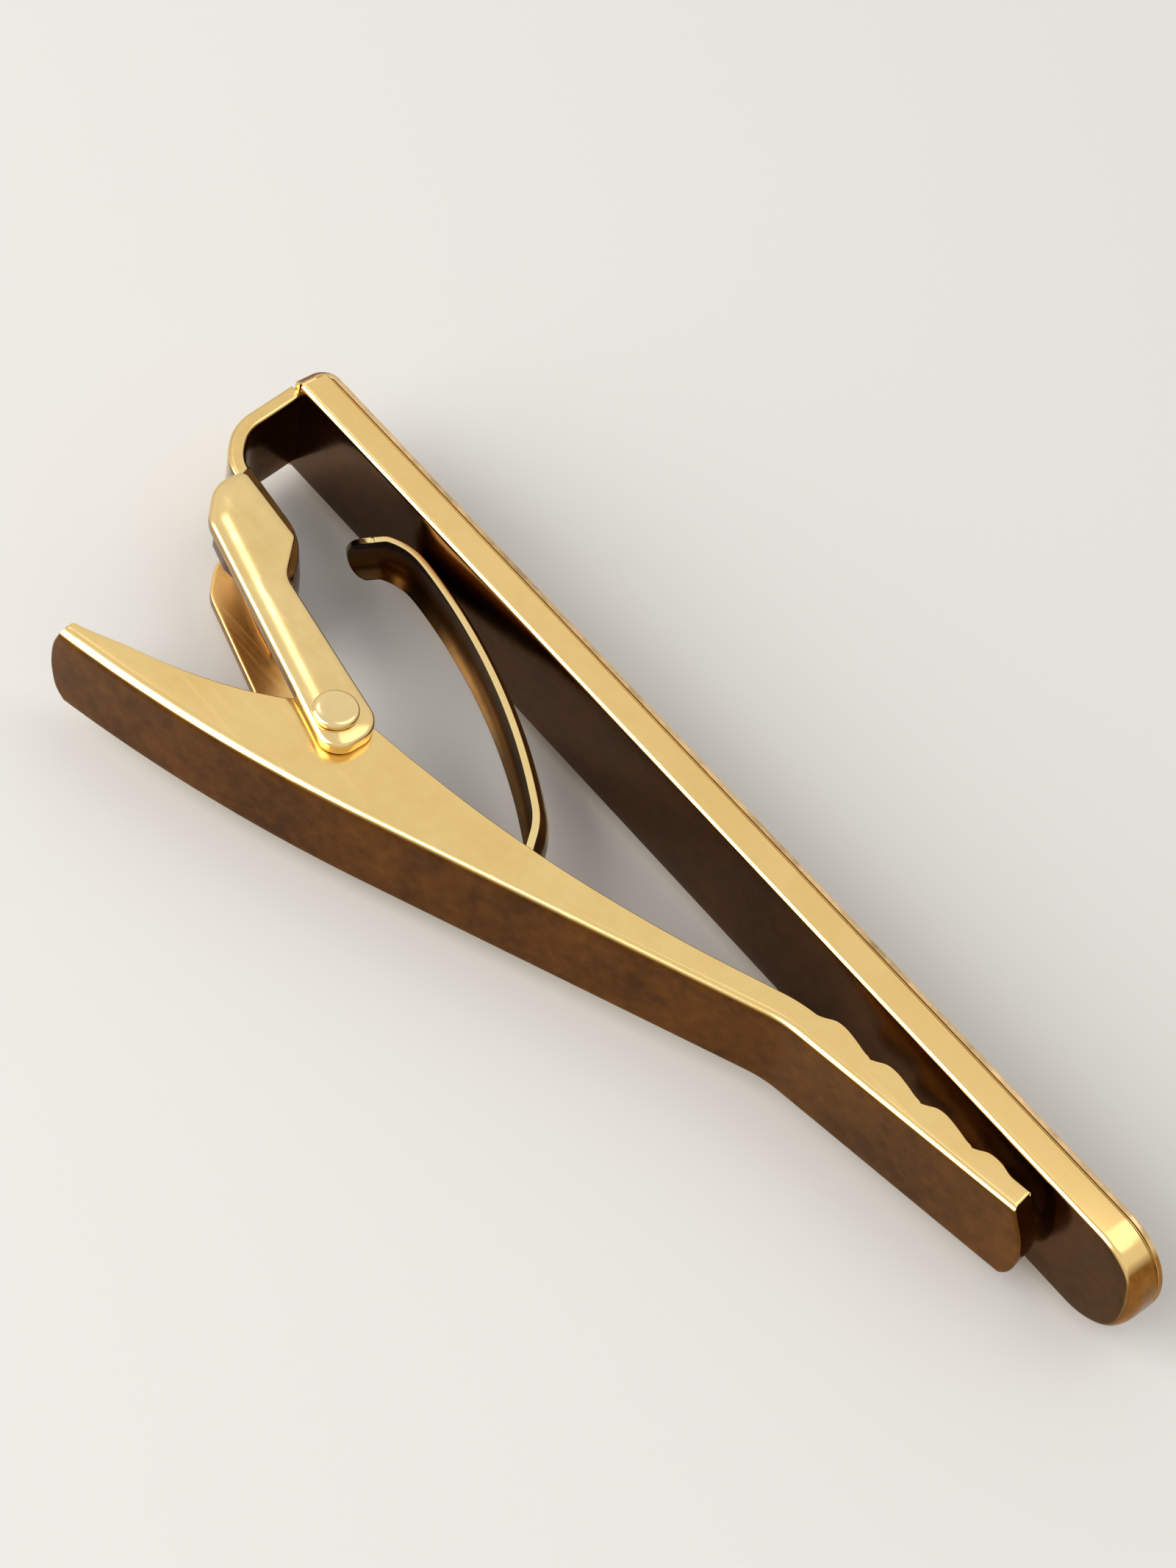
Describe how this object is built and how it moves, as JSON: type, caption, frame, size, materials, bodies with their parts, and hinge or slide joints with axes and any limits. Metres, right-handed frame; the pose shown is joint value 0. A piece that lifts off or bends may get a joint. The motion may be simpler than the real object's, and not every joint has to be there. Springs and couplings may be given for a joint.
{
  "type": "tie clip",
  "caption": "Long flat bar with a round tip, and behind it a toothed spring lever on a riveted pivot that grips cloth against the bar.",
  "frame": {"origin": "under the middle of the whole clip, at the height of its lowest point, lying on its side", "axes": "+X along the bar from the hinge end to the round tip, +Y out of the bar's front face, +Z across the bar's width, up from the surface that the clip lies on"},
  "size_m": [0.0594, 0.02, 0.0072],
  "materials": {
    "bar_gold": "polished gold plate with faint clouding",
    "face_gold": "polished gold plate",
    "bracket_gold": "polished gold plate",
    "link_gold": "polished gold plate with fine wear",
    "rivet_gold": "polished gold plate",
    "jaw_gold": "polished gold plate with scuffs and fine scratches",
    "spring_gold": "bright gold plate on spring strip"
  },
  "bodies": {
    "frame": {"front_bar": "bar_gold", "front_plate": "face_gold", "end_bracket": "bracket_gold", "near_link_plate": "link_gold", "far_link_plate": "link_gold", "jaw_rivet": "rivet_gold"},
    "jaw": {"jaw_lever": "jaw_gold", "leaf_spring": "spring_gold"}
  },
  "joints": [
    {"name": "jaw_pivot", "type": "hinge", "parent": "frame", "child": "jaw", "pos_m": [-0.01218, -0.0026, 0.00361], "axis": [0, 0, -1], "range_deg": [0, 20], "stiffness_Nm_per_rad": 0.15, "springref_deg": -2.86, "deforming": ["leaf_spring"]}
  ]
}
